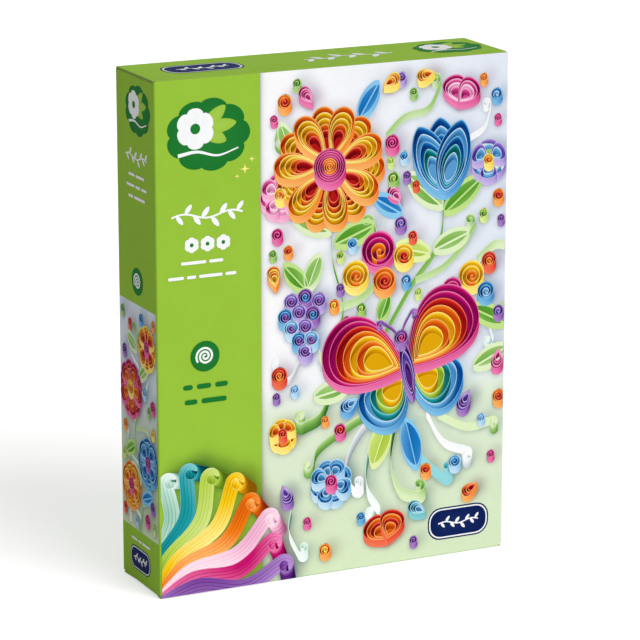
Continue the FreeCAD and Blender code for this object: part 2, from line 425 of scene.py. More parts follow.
def curl_end(path, radius, turns, side):
    """A spiral that carries a path on past its end. side is +1 to curl left and -1 right."""
    along = unit((path[-1] - path[-2])[None])[0]
    left = np.array((-along[1], along[0])) * side
    share = np.linspace(0, 1, int(turns * 26) + 1)[1:]
    angle = share * turns * TURN * side
    spin = np.column_stack([
        -left[0] * np.cos(angle) + left[1] * np.sin(angle),
        -left[0] * np.sin(angle) - left[1] * np.cos(angle),
    ])
    return path[-1] + left * radius + spin * (radius * (1 - 0.86 * share))[:, None]


# Quilled shapes

COIL_START = 1.6
LOOP_SHRINK = 0.76
LEAF_HEIGHT = 0.8


def coil(drawing, centre, radius, ink, turns=None, core=None, height=1.0, slack=(0.0, 0.0)):
    """A strip rolled into a coil. core is the ink of its inner part, slack its centre's offset."""
    drawing.base += SHAPE_STEP
    turns = turns or max(2.6, radius / 1.3)
    count = int(turns * 22) + 1
    share = np.linspace(0, 1, count)
    angle = COIL_START + (share - 1) * turns * TURN
    spread = np.minimum(0.35 + (radius - 0.35) * share * turns / (turns - 1), radius)
    middle = centre + np.array(slack) * (1 - share)[:, None]
    path = middle + spread[:, None] * np.column_stack([np.cos(angle), np.sin(angle)])
    pitch = radius / turns
    outer_gap = np.where(share > 1 - 1 / turns, OPEN_GAP, pitch)
    floor_fill(drawing, circle(centre, radius * 0.97), ink, -0.12)
    inner = int(count * 0.4) if core else 0
    if core:
        strip(drawing, path[: inner + 1], core, height, pitch, pitch)
    strip(drawing, path[inner:], ink, height, pitch, outer_gap[inner:])


def loops(drawing, root, heading, shape, length, width, inks, height=1.0):
    """Loops of strip nested in each other, all pinched at the root."""
    drawing.base += SHAPE_STEP
    apart = width * LOOP_SHRINK / len(inks) / 2
    nested = []
    for k, ink in enumerate(inks):
        scale = 1 - LOOP_SHRINK * k / len(inks)
        inset = 0.2 * length * k / len(inks)
        loop = turned(shape(length * scale, width * scale) + (0, inset), heading) + root
        strip(drawing, loop, ink, height, apart, OPEN_GAP if k == 0 else apart, closed=True)
        nested.append(loop)
    for outer, inner, ink in zip(nested, nested[1:], inks):
        ring_fill(drawing, outer, inner, ink)
    floor_fill(drawing, nested[-1], inks[-1], 0.2)


def leaf(drawing, root, heading, length, width, ink):
    """A pinched loop with a folded blade in it, lighter on one side of its rib."""
    drawing.base += SHAPE_STEP
    outline = marquise(length, width)
    half = len(outline) // 2
    along = (1 - np.cos(np.linspace(0, math.pi, half + 1))) / 2
    rib = np.column_stack([np.zeros(half + 1), length * along])
    right = outline[: half + 1]
    left = np.vstack([outline[half:], outline[:1]])[::-1]
    for side, root_tone, tip_tone in ((left, 0.36, 0.66), (right, 0.8, 0.5)):
        drawn = drawing.pictured(turned(np.vstack([side, rib]), heading) + root, 0.3 * LEAF_HEIGHT)
        rim = toned(ink, np.linspace(root_tone, tip_tone, half + 1))
        middle = toned(ink, np.linspace(root_tone, tip_tone, half + 1) - 0.16)
        drawing.add(drawn, np.vstack([rim, middle]), grid_faces(2, half + 1))
    rim = turned(outline, heading) + root
    strip(drawing, rim, ink, LEAF_HEIGHT, width, OPEN_GAP, closed=True, shift=0.3, edge=0.6)
    rib = turned(rib[1:-1], heading) + root
    strip(drawing, rib, ink, 0.6 * LEAF_HEIGHT, width, width, shift=0.3, edge=0.6)


def tendril(drawing, knots, ink, radius, turns, side, height=0.8, shift=0.0):
    """A strip along a curve through the knots, with its end rolled up."""
    drawing.base += SHAPE_STEP
    path = smooth(knots)
    if radius:
        path = np.vstack([path, curl_end(path, radius, turns, side)])
    strip(drawing, path, ink, height, 5.0, OPEN_GAP, shift=shift)


def daisy(drawing, centre, radius, count, inks, eye, eye_ink, core=None, turn=0.0, plump=2.0):
    """An even count of teardrop petals round a coil, every other petal lying lower."""
    width = plump * radius * math.sin(math.pi / count)
    low = drawing.base
    for k in sorted(range(count), key=lambda k: k % 2):
        heading = turn + 360 * k / count
        drawing.base = low + (k % 2) * LEVEL_STEP
        root = centre + turned((0, eye * 0.45), heading)
        loops(drawing, root, heading, teardrop, radius - eye * 0.45, width, inks)
    drawing.base = low + 2 * LEVEL_STEP
    coil(drawing, centre, eye, eye_ink, core=core)
    drawing.base = low


def butterfly(drawing, centre, turn, scale):
    """Two pairs of looped wings, a rolled body and curled feelers."""
    low = drawing.base
    for side in (1, -1):
        hind = ("blue", "sky", "teal", "lime", "yellow")
        fore = ("magenta", "magenta", "red", "orange", "yellow", "orange", "yellow")
        drawing.base = low
        loops(drawing, centre, turn + side * 128, teardrop, 37 * scale, 31 * scale, hind)
        drawing.base = low + LEVEL_STEP
        loops(drawing, centre, turn + side * 56, teardrop, 55 * scale, 40 * scale, fore)
    drawing.base = low + 2 * LEVEL_STEP
    tail = centre + turned((0, -17 * scale), turn)
    loops(drawing, tail, turn, marquise, 34 * scale, 8 * scale, ("purple", "violet", "purple"))
    head = centre + turned((0, 19 * scale), turn)
    for side in (1, -1):
        knots = [(0, 0), (side * -3, 8), (side * -9, 15)]
        feeler = head + turned(np.array(knots) * scale, turn)
        tendril(drawing, feeler, "purple", 2.6 * scale, 1.4, side, height=0.5)
    coil(drawing, head, 4.2 * scale, "purple", core="magenta")
    drawing.base = low


def tulip(drawing, centre, turn, scale, inks):
    """A cup of three pointed petals."""
    low = drawing.base
    loops(drawing, centre, turn, marquise, 40 * scale, 20 * scale, inks)
    for side in (1, -1):
        drawing.base += LEVEL_STEP
        loops(drawing, centre, turn + side * 19, marquise, 39 * scale, 19 * scale, inks)
    drawing.base = low


def heart(drawing, centre, turn, scale, inks):
    """Two plump loops side by side."""
    for side in (1, -1):
        loops(drawing, centre, turn + side * 30, teardrop, 17 * scale, 15 * scale, inks)
        drawing.base += LEVEL_STEP


# The picture on the front

SMALL_COILS = [
    (82, 292, 4.4, "orange", "red"), (90, 303, 2.6, "green", None), (75, 283, 2.4, "magenta", None),
    (158, 301, 3.2, "violet", "purple"), (152, 262, 4.6, "magenta", None), (151, 252, 2.4, "lime", None),
    (160, 254, 3.0, "sky", "blue"), (162, 242, 2.6, "purple", None),
    (153, 241, 3.6, "green", "lime"), (168, 236, 2.4, "red", None), (222, 286, 3.6, "blue", "sky"),
    (213, 297, 2.6, "orange", None), (223, 272, 2.4, "magenta", None), (166, 292, 2.4, "green", None),
    (214, 214, 3.0, "lime", "green"), (224, 224, 3.8, "orange", "red"), (226, 210, 2.4, "purple", None),
    (77, 214, 3.6, "magenta", None), (74, 203, 2.4, "green", None), (84, 204, 3.0, "orange", "red"),
    (126, 204, 3.4, "sky", "blue"), (118, 198, 2.6, "lime", "green"), (158, 213, 3.8, "purple", "violet"),
    (166, 205, 2.8, "red", None), (118, 178, 2.6, "purple", None), (114, 168, 3.2, "orange", "yellow"),
    (132, 164, 3.0, "green", "lime"), (122, 158, 2.4, "magenta", None), (162, 178, 3.2, "blue", "sky"),
    (170, 170, 2.4, "lime", None), (78, 128, 5.0, "red", "orange"), (88, 119, 2.8, "sky", None),
    (76, 116, 2.4, "purple", None), (225, 152, 3.6, "purple", "violet"), (226, 98, 4.2, "orange", "red"),
    (214, 86, 2.8, "sky", None), (118, 90, 3.8, "magenta", "red"), (108, 98, 2.4, "orange", None),
    (176, 58, 3.6, "orange", "red"), (196, 60, 4.2, "sky", "blue"), (221, 62, 2.6, "magenta", None),
    (132, 34, 2.6, "blue", None), (108, 16, 3.8, "orange", "yellow"), (168, 14, 2.6, "purple", None),
    (96, 36, 2.6, "magenta", None),
]

LOOSE_COILS = [
    (143, 198, 11.0, "magenta", "orange"), (128, 184, 8.6, "yellow", "orange"),
    (147, 179, 7.4, "orange", "red"), (160, 193, 6.6, "yellow", "red"),
    (206, 176, 8.6, "yellow", "orange"), (193, 169, 6.6, "magenta", "red"),
    (216, 165, 5.6, "blue", "sky"), (218, 184, 4.8, "red", "orange"),
]

DROPS = [
    (172, 254, -30, 13, "orange", "yellow"), (158, 226, 40, 12, "magenta", "pink"),
    (76, 182, 10, 13, "orange", "yellow"), (206, 104, 150, 14, "purple", "violet"),
    (226, 128, 170, 13, "magenta", "pink"), (130, 108, 120, 13, "blue", "sky"),
    (212, 44, 120, 12, "orange", "red"), (80, 60, 200, 13, "purple", "violet"),
    (180, 302, 100, 12, "yellow", "orange"), (176, 30, 60, 13, "teal", "sky"),
    (146, 296, -60, 12, "yellow", "orange"), (100, 290, 40, 12, "magenta", "pink"),
]

GRAPES = [
    (86, 172, "violet"), (95, 174, "purple"), (104, 171, "violet"), (82, 163, "blue"), (91, 165, "violet"),
    (100, 163, "purple"), (86, 156, "sky"), (95, 156, "violet"), (91, 148, "blue"), (99, 148, "sky"),
    (95, 141, "violet"),
]

LEAVES = [
    (112, 214, 62, 30, 13, "leaf"), (114, 206, -70, 28, 12, "green"), (96, 180, 42, 22, 10, "green"),
    (96, 180, -22, 22, 10, "leaf"), (186, 222, 48, 32, 13, "leaf"), (187, 218, -52, 32, 12, "green"),
    (178, 194, 74, 24, 11, "lime"), (180, 196, -70, 26, 11, "leaf"), (150, 94, 160, 30, 13, "lime"),
    (162, 92, 194, 32, 13, "blue"), (130, 280, -32, 24, 10, "blue"), (208, 120, -66, 26, 11, "leaf"),
    (124, 118, 100, 24, 11, "leaf"), (206, 158, -118, 28, 11, "green"), (86, 262, 20, 20, 9, "leaf"),
    (150, 172, 160, 18, 8, "green"), (229, 244, 60, 22, 10, "leaf"), (140, 232, -122, 22, 10, "blue"),
]

CURLS = [
    ([(150, 98), (138, 74), (136, 50), (145, 34)], "mint", 6.5, 1.3, -1, 2.0, 0.1),
    ([(156, 94), (152, 66), (158, 46), (170, 40)], "leaf", 5.0, 1.5, 1, 1.8, 0.0),
    ([(166, 92), (172, 66), (188, 50)], "teal", 4.6, 1.5, 1, 1.8, 0.2),
    ([(176, 94), (188, 74), (206, 66)], "white", 4.6, 1.5, -1, 1.3, 0.0),
    ([(184, 92), (204, 82), (222, 84)], "leaf", 3.8, 1.5, -1, 1.2, 0.2),
    ([(146, 100), (130, 84), (122, 66), (126, 52)], "white", 4.6, 1.6, 1, 1.5, 0.0),
    ([(142, 100), (124, 92), (104, 80), (100, 68)], "leaf", 3.6, 1.5, -1, 1.3, 0.2),
    ([(104, 138), (112, 120), (106, 100), (94, 94)], "leaf", 4.6, 1.6, -1, 1.7, 0.1),
    ([(200, 150), (214, 154), (222, 134)], "mint", 4.2, 1.5, -1, 1.3, 0.0),
    ([(92, 138), (84, 126), (74, 134)], "white", 3.0, 1.4, -1, 1.0, 0.0),
    ([(86, 44), (84, 30), (90, 16)], "mint", 4.0, 1.5, 1, 1.4, 0.0),
    ([(210, 186), (222, 194), (232, 192)], "leaf", 0, 1.0, 1, 1.3, 0.1),
]

STEMS = [
    ([(112, 140), (120, 166), (113, 196), (112, 226)], "green", 0, 1, 1.0),
    ([(148, 148), (166, 176), (184, 200), (187, 232)], "green", 0, 1, 1.0),
    ([(168, 178), (186, 184), (200, 196), (208, 208)], "leaf", 3.8, 1, 1.0),
    ([(116, 166), (134, 172), (146, 188), (140, 216)], "leaf", 4.2, 1, 1.2),
    ([(148, 268), (160, 278), (176, 282), (184, 296)], "leaf", 3.8, 1, 1.0),
    ([(204, 262), (214, 268), (218, 280)], "white", 3.2, 1, 0.9),
    ([(84, 262), (76, 268), (77, 276)], "leaf", 3.0, -1, 0.9),
    ([(176, 160), (196, 152), (214, 150), (232, 158)], "leaf", 0, 1, 1.1),
]


def motif_levels(shade, lean=LEAN):
    """An empty set of motifs by the name of their piece, and what adds one to it on a level."""
    made = {}

    def on_level(name, level):
        made[name + "_print"] = Drawing(level, lean, shade)
        return made[name + "_print"]

    return made, on_level


def draw_picture(shade):
    """Every motif of the front's picture."""
    made, on_level = motif_levels(shade)
    curls = on_level("curl", 0)
    for knots, ink, radius, turns, side, height, shift in CURLS:
        tendril(curls, knots, ink, radius, turns, side, height, shift=shift)

    stems = on_level("stem", 1)
    for knots, ink, radius, side, height in STEMS:
        tendril(stems, knots, ink, radius, 1.6, side, height)

    leaves = on_level("leaf", 2)
    for u, v, heading, length, width, ink in LEAVES:
        leaf(leaves, (u, v), heading, length, width, ink)

    grapes = on_level("berry", 3)
    for u, v, ink in GRAPES:
        coil(grapes, (u, v), 4.7, ink, core="purple" if ink != "purple" else "blue")

    small = on_level("coil", 3)
    for u, v, radius, ink, core in SMALL_COILS:
        coil(small, (u, v), radius, ink, core=core, height=min(1.0, 0.5 + 0.09 * radius))

    drops = on_level("drop", 3)
    for u, v, heading, length, outer, inner in DROPS:
        inks = (outer, inner, outer, inner)
        loops(drops, (u, v), heading, teardrop, length, 0.62 * length, inks, height=0.9)

    loose = on_level("loose_coil", 4)
    for u, v, radius, ink, core in LOOSE_COILS:
        slack = (0.12 * radius, -0.14 * radius)
        coil(loose, (u, v), radius, ink, turns=3.4 + 0.08 * radius, core=core, slack=slack)

    sunflower = on_level("sunflower", 5)
    rings = ("orange", "yellow", "yellow", "orange", "red")
    daisy(sunflower, (111, 251), 36, 14, rings, 10.5, "magenta", "orange", 8)
    tulip(on_level("tulip", 5), (187, 228), 4, 1.15, ("blue", "sky", "blue", "teal", "sky"))
    butterfly(on_level("butterfly", 6), (163, 122), 12, 1.08)

    hearts = on_level("heart", 3)
    heart(hearts, (196, 282), -14, 1.0, ("magenta", "pink", "blush", "pink"))
    heart(hearts, (150, 16), 14, 1.1, ("red", "orange", "red", "orange"))

    daisies = on_level("daisy", 3)
    daisy(daisies, (79, 237), 13, 8, ("pink", "blush"), 3.8, "yellow", "orange", 12, 1.9)
    daisy(daisies, (217, 246), 12, 6, ("violet", "sky"), 3.4, "yellow", "orange", 0, 1.9)
    daisy(daisies, (112, 58), 14, 8, ("sky", "blue", "sky"), 4.0, "magenta", None, 20, 1.9)
    daisy(daisies, (80, 92), 9, 6, ("yellow", "orange"), 2.8, "red", None, 10, 1.9)
    nameplate(on_level("nameplate", 2), (199, 20.5), 42)

    return made


def picture_colour(u, v):
    """The ground of the picture, before shadows."""
    across = np.clip((u - BAND_EDGE) / (WIDTH - BAND_EDGE), 0, 1)[:, None]
    top = FIELD_TOP_LEFT + (FIELD_TOP_RIGHT - FIELD_TOP_LEFT) * across
    low = FIELD_FOOT + (FIELD_LOW - FIELD_FOOT) * np.clip(v / GREEN_CHANGE, 0, 1)[:, None]
    rise = np.clip((v - GREEN_CHANGE) / FIELD_BLEND + 0.5, 0, 1)[:, None]
    rise = rise * rise * (3 - 2 * rise)
    band_shadow = 1 - FOLD_SHADE * np.exp(-(u - BAND_EDGE) / FOLD_REACH)[:, None]
    return (low + (top - low) * rise) * band_shadow


# The picture on the left side: a garland


def draw_side_picture(shade):
    made, on_level = motif_levels(shade, LEAN * 0.6)
    vines = on_level("side_stem", 0)
    tendril(vines, [(26, 30), (34, 60), (22, 92), (32, 124), (26, 160)], "green", 3.0, 1.5, 1)
    for knots, ink, side in (
        ([(32, 52), (42, 58), (48, 68)], "leaf", 1), ([(28, 76), (16, 80), (9, 90)], "mint", -1),
        ([(24, 98), (40, 100), (47, 92)], "leaf", -1), ([(30, 118), (42, 128), (44, 138)], "mint", 1),
        ([(30, 136), (18, 142), (14, 152)], "white", -1), ([(30, 44), (18, 48), (12, 42)], "white", 1),
    ):
        tendril(vines, knots, ink, 2.6, 1.5, side, 1.1)
    leaves = on_level("side_leaf", 1)
    for u, v, heading, ink in (
        (31, 66, 60, "leaf"), (27, 84, -64, "green"), (24, 104, 58, "lime"), (30, 130, -52, "leaf"),
        (28, 150, -40, "green"), (32, 56, -70, "blue"), (27, 146, 62, "leaf"), (23, 88, 118, "green"),
    ):
        leaf(leaves, (u, v), heading, 17, 7.5, ink)
    flowers = on_level("side_flower", 2)
    daisy(flowers, (17, 120), 17, 10, ("magenta", "red", "orange"), 4.6, "yellow", "orange", 10)
    daisy(flowers, (42, 80), 15, 8, ("blue", "sky", "blue"), 4.0, "purple", "magenta", 4)
    daisy(flowers, (16, 60), 14, 8, ("orange", "yellow", "orange"), 4.0, "magenta", None, 16)
    daisy(flowers, (42, 150), 13, 8, ("yellow", "orange", "red"), 3.8, "magenta", None, 0)
    coils = on_level("side_coil", 2)
    for u, v, radius, ink in (
        (50, 116, 3.4, "magenta"), (44, 112, 2.4, "green"), (8, 96, 2.8, "orange"), (38, 122, 3.0, "sky"),
        (8, 142, 3.2, "purple"), (17, 160, 2.6, "red"), (48, 54, 3.2, "purple"), (40, 44, 3.4, "magenta"),
        (50, 42, 2.4, "lime"), (24, 40, 2.4, "sky"), (6, 78, 2.4, "lime"), (50, 100, 2.6, "yellow"),
        (6, 44, 2.6, "red"), (34, 166, 2.8, "blue"), (6, 166, 2.6, "green"), (52, 166, 2.4, "orange"),
    ):
        coil(coils, (u, v), radius, ink)
    return made


def side_colour(u, v):
    rise = np.clip((v - SIDE_FOOT - SIDE_CHANGE) / SIDE_BLEND, 0, 1)[:, None]
    return FIELD_FOOT + (FIELD_TOP_RIGHT - FIELD_FOOT) * rise


def side_ground(shade):
    drawing = Drawing(shade=shade)
    us = spaced((CREASE_RADIUS, DEPTH - CREASE_RADIUS, SIDE_STEP))
    ground(drawing, us, spaced((SIDE_FOOT, SIDE_HEAD, SIDE_STEP)), side_colour)
    return drawing


# The paper strips at the foot of the front

RIBBONS = [
    ("mint", 82, 86), ("teal", 73, 94), ("lime", 63, 95), ("yellow", 52, 100),
    ("orange", 41, 96), ("blush", 30, 100), ("magenta", 20, 94), ("purple", 9, 98),
]
RIBBON_WIDTH = 10.0
RIBBON_ROOT = np.array((-4.0, -4.0))
RIBBON_SPREAD = 4
RIBBON_WAVE = ((0.0, 0.0), (0.3, 0.05), (0.6, -0.045), (0.86, 0.03))
RIBBON_CURL = 7.0
RIBBON_ROOM = 5.5
RIBBON_SCORES = (0.28, 0.5, 0.72)


def draw_ribbons(shade):
    """Loose paper strips that wave up out of the corner and end in open curls."""
    made = {}
    for k, (ink, rise, length) in enumerate(RIBBONS):
        a = math.radians(rise)
        along, across = np.array((math.cos(a), math.sin(a))), np.array((math.sin(a), -math.cos(a)))
        drawing = Drawing(1 + k, lean=across * RIBBON_WIDTH, shade=shade)
        root = RIBBON_ROOT - across * RIBBON_SPREAD
        path = smooth([root + along * length * t - across * length * s for t, s in RIBBON_WAVE], 20)
        path = np.vstack([path, curl_end(path, RIBBON_CURL, 1.5, -1)])
        share = np.linspace(0, 1, len(path))
        sheen = 0.2 * np.cos(share * 9 + k) - 0.05
        strip(drawing, path, ink, 1.0, RIBBON_ROOM, OPEN_GAP, edge=0.3, shift=sheen, scores=RIBBON_SCORES)
        for z in (0.3, 0.6, 0.9):
            drawing.cast(path - drawing.lean * z, ink, 1.0)
        made[f"ribbon_{k + 1}_print"] = drawing
    return made


# Plates, bars and sprigs, in the places that a carton keeps for badges and lines of text


def scalloped(centre, width, height, lobes):
    t = full_turn(108)
    r = 0.9 + 0.1 * np.abs(np.cos(lobes * t / 2)) ** 0.7
    return np.column_stack([centre[0] + width / 2 * r * np.cos(t), centre[1] + height / 2 * r * np.sin(t)])


def sprig(drawing, centre, width, ink, turn=0.0):
    """A wavy twig with leaves on both sides, drawn flat."""
    share = np.linspace(0, 1, 60)
    twig = np.column_stack([(share - 0.5) * width, 0.035 * width * np.sin(share * TURN * 1.5)])
    line(drawing, turned(twig, turn) + centre, ink, 0.02 * width + 0.25, 0.85)
    for k, at in enumerate(np.linspace(0.08, 0.92, 8)):
        side = 1 if k % 2 else -1
        spot = twig[int(at * 59)]
        size = width * (0.17 - 0.05 * abs(at - 0.5))
        blade = turned(marquise(size, size * 0.42), -90 + side * 52) + spot
        patch(drawing, turned(blade, turn) + centre, ink, 0.85, 0.85)


def dashes(drawing, centre, lengths, thick, ink, tone=0.85):
    """A row of short bars."""
    space = thick * 0.9
    u = centre[0] - (sum(lengths) + space * (len(lengths) - 1)) / 2
    for length in lengths:
        bar = rounded_bar((u + length / 2, centre[1]), length, thick, thick * 0.48)
        patch(drawing, bar, ink, tone, tone)
        u += length + space


def flower(drawing, centre, radius, petals, ink, eye):
    """A small flat flower with an eye of another ink."""
    for k in range(petals):
        petal = turned(teardrop(radius, radius * 0.86), 360 * k / petals) + centre
        patch(drawing, petal, ink, 0.9, 0.7)
    patch(drawing, circle(centre, radius * 0.26, 20), eye, 0.5, 0.6)


def spiral(drawing, centre, radius, turns, ink, width):
    share = np.linspace(0.06, 1, int(turns * 34))
    angle = share * turns * TURN
    ring = np.column_stack([np.cos(angle), np.sin(angle)]) * (share * radius)[:, None]
    line(drawing, ring + centre, ink, width, 0.88)


def sparkle(drawing, centre, radius, ink):
    t = full_turn(8)
    r = radius * np.tile((1, 0.28), 4)
    patch(drawing, np.column_stack([r * np.cos(t), r * np.sin(t)]) + centre, ink, 0.5, 0.9)


def badge(drawing, centre, width):
    """A dark scalloped badge with a flower, three leaves and a swash."""
    size = width / 53
    patch(drawing, scalloped(centre, width, width * 0.81, 9), "plate", 0.42, 0.62)
    for heading, length in ((-48, 20), (-82, 22), (-116, 17)):
        blade = turned(marquise(length, 8), heading) * size + centre + np.array((-4, 3)) * size
        patch(drawing, blade, "band", 0.55, 0.66)
    flower(drawing, centre + np.array((-8, 4)) * size, 12 * size, 6, "white", "plate")
    swash = smooth(np.array([(-19, -11), (-7, -9.5), (6, -12.5), (19, -9)]) * size + centre)
    line(drawing, swash, "white", np.linspace(2.2, 0.7, len(swash)) * size, 0.85)


def dot(drawing, centre, radius):
    """A dark disc with a white spiral."""
    patch(drawing, circle(centre, radius), "plate", 0.45, 0.55)
    spiral(drawing, centre, radius * 0.62, 2.6, "white", radius * 0.14)


def nameplate(drawing, centre, width):
    """A navy plate with a white inner line and a sprig."""
    for inset, ink in ((0, "navy"), (0.9, "white"), (1.8, "navy")):
        size = np.array((width, width * 0.49)) - inset * 2 * width / 42
        bar = rounded_bar(centre, *size, size[1] * 0.42)
        patch(drawing, bar, ink, 0.5, 0.62 if ink == "navy" else 0.9)
    sprig(drawing, centre, width * 0.66, "white")


def draw_band():
    """What is printed on the front's green band, above the paper strips."""
    drawing = Drawing(1)
    badge(drawing, (33.5, 276.5), 53)
    for u, v, radius in ((56.5, 254.5, 3.2), (61.0, 260.0, 2.0), (51.5, 250.5, 1.7)):
        sparkle(drawing, (u, v), radius, "spark")
    sprig(drawing, (32.5, 229.5), 45, "white")
    for u in (22.5, 32.5, 42.5):
        flower(drawing, (u, 212.5), 4.6, 6, "white", "plate")
    dashes(drawing, (29.0, 202.0), (16, 9), 1.9, "white")
    dashes(drawing, (29.0, 193.5), (10, 6, 15, 7), 1.9, "white")
    dot(drawing, (30.3, 145.4), 9.2)
    dashes(drawing, (30.5, 127.5), (6, 9, 8), 3.0, "plate", 0.45)
    dashes(drawing, (30.5, 118.5), (8, 16), 3.0, "plate", 0.45)
    return drawing


def draw_side():
    """What is printed on the left side, apart from its picture."""
    drawing = Drawing(1)
    badge(drawing, (33, 289), 37)
    sprig(drawing, (30, 261), 32, "white")
    for v, lengths in ((250.0, (9, 13)), (243.5, (12, 7, 8)), (237.0, (7, 16))):
        dashes(drawing, (30, v), lengths, 1.7, "white")
    dot(drawing, (29, 187), 8.2)
    dashes(drawing, (29, 27.0), (9, 5, 12), 1.4, "white")
    nameplate(drawing, (28, 15.5), 30)
    return drawing


def draw_top():
    """What is printed on the lid."""
    drawing = Drawing(1)
    nameplate(drawing, (43, 29), 50)
    sprig(drawing, (137, 28), 58, "white", 180)
    badge(drawing, (204, 29), 44)
    return drawing


# Materials. A noise is given by its scale and detail.

MOTTLE, FIBRES, SMEAR, RELIEF_NOISE = (60.0, 3.0), (900.0, 2.0), (140.0, 3.0), (700.0, 3.0)
NOISE_LOW, NOISE_HIGH = 0.3, 0.7
TONE_CHANGE = 0.0175
ROUGHNESS = (0.5, 0.62)
SPECULAR = 0.02
RELIEF_STRENGTH, RELIEF_DEPTH = 0.25, 0.02


def node(tree, kind, inputs=(), **settings):
    """A shader node. inputs gives the value of each input: another node's socket or a constant."""
    made = tree.nodes.new("ShaderNode" + kind)
    for name, value in settings.items():
        setattr(made, name, value)
    for name, value in dict(inputs).items():
        if isinstance(value, bpy.types.NodeSocket):
            tree.links.new(value, made.inputs[name])
        else:
            made.inputs[name].default_value = value
    return made


def computed(tree, kind, operation, *values):
    """The result of a Math or VectorMath node."""
    made = node(tree, kind, enumerate(values), operation=operation)
    return made.outputs["Value" if kind == "Math" or operation == "LENGTH" else "Vector"]


def mixed(tree, factor, first, second):
    return node(tree, "Mix", {0: factor, 6: first, 7: second}, data_type="RGBA").outputs[2]


def noise(tree, coordinates, scale, detail):
    inputs = {"Vector": coordinates, "Scale": scale, "Detail": detail}
    return node(tree, "TexNoise", inputs).outputs["Fac"]


def ranged(tree, value, low, high):
    """Noise as a number that wanders between low and high."""
    source = {"Value": value, "From Min": NOISE_LOW, "From Max": NOISE_HIGH}
    return node(tree, "MapRange", {**source, "To Min": low, "To Max": high}).outputs["Result"]


def coated_board(name, colour_of):
    """Printed board: faint mottle, a satin varnish and the fibres' slight relief."""
    material = bpy.data.materials.new(name)
    material.use_nodes = True
    tree = material.node_tree
    coordinates = node(tree, "TexCoord").outputs["Object"]
    colour = colour_of(tree, coordinates)
    for pattern in (MOTTLE, FIBRES):
        amount = ranged(tree, noise(tree, coordinates, *pattern), 1 - TONE_CHANGE, 1 + TONE_CHANGE)
        colour = computed(tree, "VectorMath", "MULTIPLY", colour, amount)
    gloss = ranged(tree, noise(tree, coordinates, *SMEAR), *ROUGHNESS)
    relief = {"Height": noise(tree, coordinates, *RELIEF_NOISE)}
    bump = node(tree, "Bump", {"Strength": RELIEF_STRENGTH, "Distance": RELIEF_DEPTH * MM, **relief})
    shader = tree.nodes["Principled BSDF"].inputs
    shader["Specular IOR Level"].default_value = SPECULAR
    tree.links.new(colour, shader["Base Color"])
    tree.links.new(gloss, shader["Roughness"])
    tree.links.new(bump.outputs["Normal"], shader["Normal"])
    return material


def ink_colour(tree, coordinates):
    """The ink of each point of the print."""
    return node(tree, "Attribute", attribute_name="ink").outputs["Color"]


def board_colour(tree, coordinates):
    """Green outside and bare inside, told apart by depth under the carton's skin."""
    core = (np.array((WIDTH, DEPTH, HEIGHT)) / 2 - CREASE_RADIUS) * MM
    centred = computed(tree, "VectorMath", "SUBTRACT", coordinates, (0, 0, HEIGHT / 2 * MM))
    mirrored = computed(tree, "VectorMath", "ABSOLUTE", centred)
    past = computed(tree, "VectorMath", "SUBTRACT", mirrored, tuple(core))
    outside = computed(tree, "VectorMath", "MAXIMUM", past)
    length = computed(tree, "VectorMath", "LENGTH", outside)

    def deeper_than(depth):
        return computed(tree, "Math", "LESS_THAN", length, (CREASE_RADIUS - depth) * MM)

    skin = mixed(tree, deeper_than(SKIN_DEPTH), (*INKS["band"][1], 1), (*BOARD_CORE, 1))
    return mixed(tree, deeper_than(BOARD - SKIN_DEPTH), skin, (*BOARD_INSIDE, 1))


INK = coated_board("ink", ink_colour)


def in_scene(name, data):
    """A new object with this data, linked to the scene."""
    made = bpy.data.objects.new(name, data)
    bpy.context.scene.collection.objects.link(made)
    return made


# Print as meshes

LEAST_AREA = 1e-5


def printed(name, drawing, face, left=CREASE_RADIUS, foot=0.5, right=None, head=None):
    """Makes the drawing a mesh on a face of the carton, cut off at the limits given."""
    points = np.vstack(drawing.points)
    colours = np.vstack(drawing.colours)
    points[:, 0] = np.clip(points[:, 0], left, right or WIDTH - CREASE_RADIUS)
    points[:, 1] = np.clip(points[:, 1], foot, head or HEIGHT - CREASE_RADIUS)
    faces, levels = [], []
    for block in drawing.faces:
        p = points[block]
        q = np.roll(p, -1, axis=1)
        area = (p[..., 0] * q[..., 1] - p[..., 1] * q[..., 0]).sum(axis=1)
        block = np.where(area[:, None] < 0, block[:, ::-1], block)
        kept = np.abs(area) > LEAST_AREA
        faces += block[kept].tolist()
        levels.append(p[kept, :, 2].mean(axis=1))
    faces = [faces[i] for i in np.argsort(np.concatenate(levels), kind="stable")]
    mesh = bpy.data.meshes.new(name)
    placed = PLACES[face](points)
    mesh.from_pydata((placed * MM).tolist(), [], faces)
    ink = mesh.color_attributes.new("ink", "FLOAT_COLOR", "POINT")
    opaque = np.column_stack([colours, np.ones(len(colours))])
    ink.data.foreach_set("color", opaque.astype(np.float32).ravel())
    low = points[:, :2].min(axis=0)
    span = np.ptp(points[:, :2], axis=0)
    corners = np.concatenate(faces)
    layer = mesh.uv_layers.new(name="OFBake")
    layer.uv.foreach_set("vector", ((points[corners, :2] - low) / span).astype(np.float32).ravel())
    mesh.materials.append(INK)
    mesh.shade_smooth()
    mesh.normals_split_custom_set_from_vertices((PLACES[face](points + (0, 0, 1)) - placed).tolist())
    piece = in_scene(name, mesh)
    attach(piece, "lid" if face == "top" else "carton")


# Grounds: even stretches of print under the motifs


def spaced(*stops):
    """Grid lines: (from, to, spacing) stretches joined into one list."""
    parts = [np.linspace(a, b, max(1, round((b - a) / d)) + 1)[:-1] for a, b, d in stops]
    return np.append(np.concatenate(parts), stops[-1][1])


